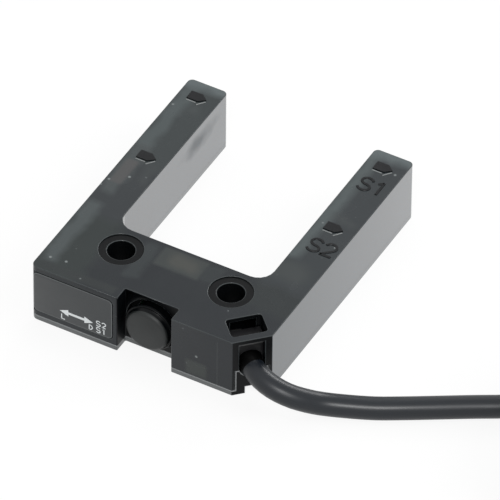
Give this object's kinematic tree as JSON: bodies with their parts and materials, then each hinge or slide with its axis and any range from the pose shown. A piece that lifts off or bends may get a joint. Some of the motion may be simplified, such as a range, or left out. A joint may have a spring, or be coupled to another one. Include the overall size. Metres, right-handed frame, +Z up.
{
  "type": "fork sensor",
  "caption": "U-shaped fork sensor with light beams across its slot, a pull-off cap over its mode switches, screw holes through the base and a corner cable laid to a tied coil.",
  "frame": {"origin": "centre of the body's rectangle, on the underside of the bottom cover", "axes": "+X along the base from the label end to the cable corner, +Y from the label face to the arm tips, +Z up"},
  "size_m": [0.1313, 0.0571, 0.0156],
  "materials": {
    "smoke_plastic": "satin smoke-grey moulding",
    "cover_plastic": "satin grey moulding",
    "label_film": "matt grey film",
    "cap_rubber": "matt dark grey",
    "black_nylon": "matt black",
    "slider_nylon": "satin off-white",
    "board_laminate": "satin green lacquer",
    "chip_epoxy": "matt black",
    "capacitor_case": "satin yellow-brown",
    "tin": "satin tinned",
    "led_amber": "clear amber",
    "clear_acrylic": "clear",
    "lens_acrylic": "dark red, polished",
    "package_epoxy": "tinted clear epoxy",
    "cable_sheath": "satin dark grey sheath",
    "core_brown": "satin",
    "core_blue": "satin",
    "core_black": "satin"
  },
  "bodies": {
    "body": {"housing": "smoke_plastic", "base_cover": "cover_plastic", "label_plate": "label_film", "mode_switch_body": "black_nylon", "main_board": "board_laminate", "control_ic": "chip_epoxy", "voltage_regulator": "chip_epoxy", "output_transistor": "chip_epoxy", "protection_diode": "chip_epoxy", "bypass_capacitor": "capacitor_case", "clock_crystal": "tin", "indicator_led_s1": "led_amber", "indicator_led_s2": "led_amber", "indicator_light_guide": "clear_acrylic", "emitter_board": "board_laminate", "emitter_lens_holder": "black_nylon", "emitter_lens_1": "lens_acrylic", "emitter_lens_2": "lens_acrylic", "emitter_led_1": "package_epoxy", "emitter_led_2": "package_epoxy", "emitter_link": "core_black", "receiver_board": "board_laminate", "receiver_lens_holder": "black_nylon", "receiver_lens_1": "lens_acrylic", "receiver_lens_2": "lens_acrylic", "receiver_photodiode_1": "package_epoxy", "receiver_photodiode_2": "package_epoxy", "receiver_link": "core_black", "cable_clamp": "black_nylon", "inner_wire_brown": "core_brown", "inner_wire_blue": "core_blue", "inner_wire_black": "core_black", "cable": "cable_sheath", "cable_coil": "cable_sheath", "coil_tie": "black_nylon", "lead_end_brown": "core_brown", "lead_end_blue": "core_blue", "lead_end_black": "core_black"},
    "cap": {"selector_cap": "cap_rubber"},
    "slider_s1": {"mode_slider_s1": "slider_nylon"},
    "slider_s2": {"mode_slider_s2": "slider_nylon"}
  },
  "joints": [
    {"name": "cap_pull", "type": "slide", "parent": "body", "child": "cap", "axis": [0, -1, 0], "range_m": [0, 0.006]},
    {"name": "mode_s1_slide", "type": "slide", "parent": "body", "child": "slider_s1", "axis": [1, 0, 0], "range_m": [0, 0.0018]},
    {"name": "mode_s2_slide", "type": "slide", "parent": "body", "child": "slider_s2", "axis": [1, 0, 0], "range_m": [0, 0.0018]}
  ]
}
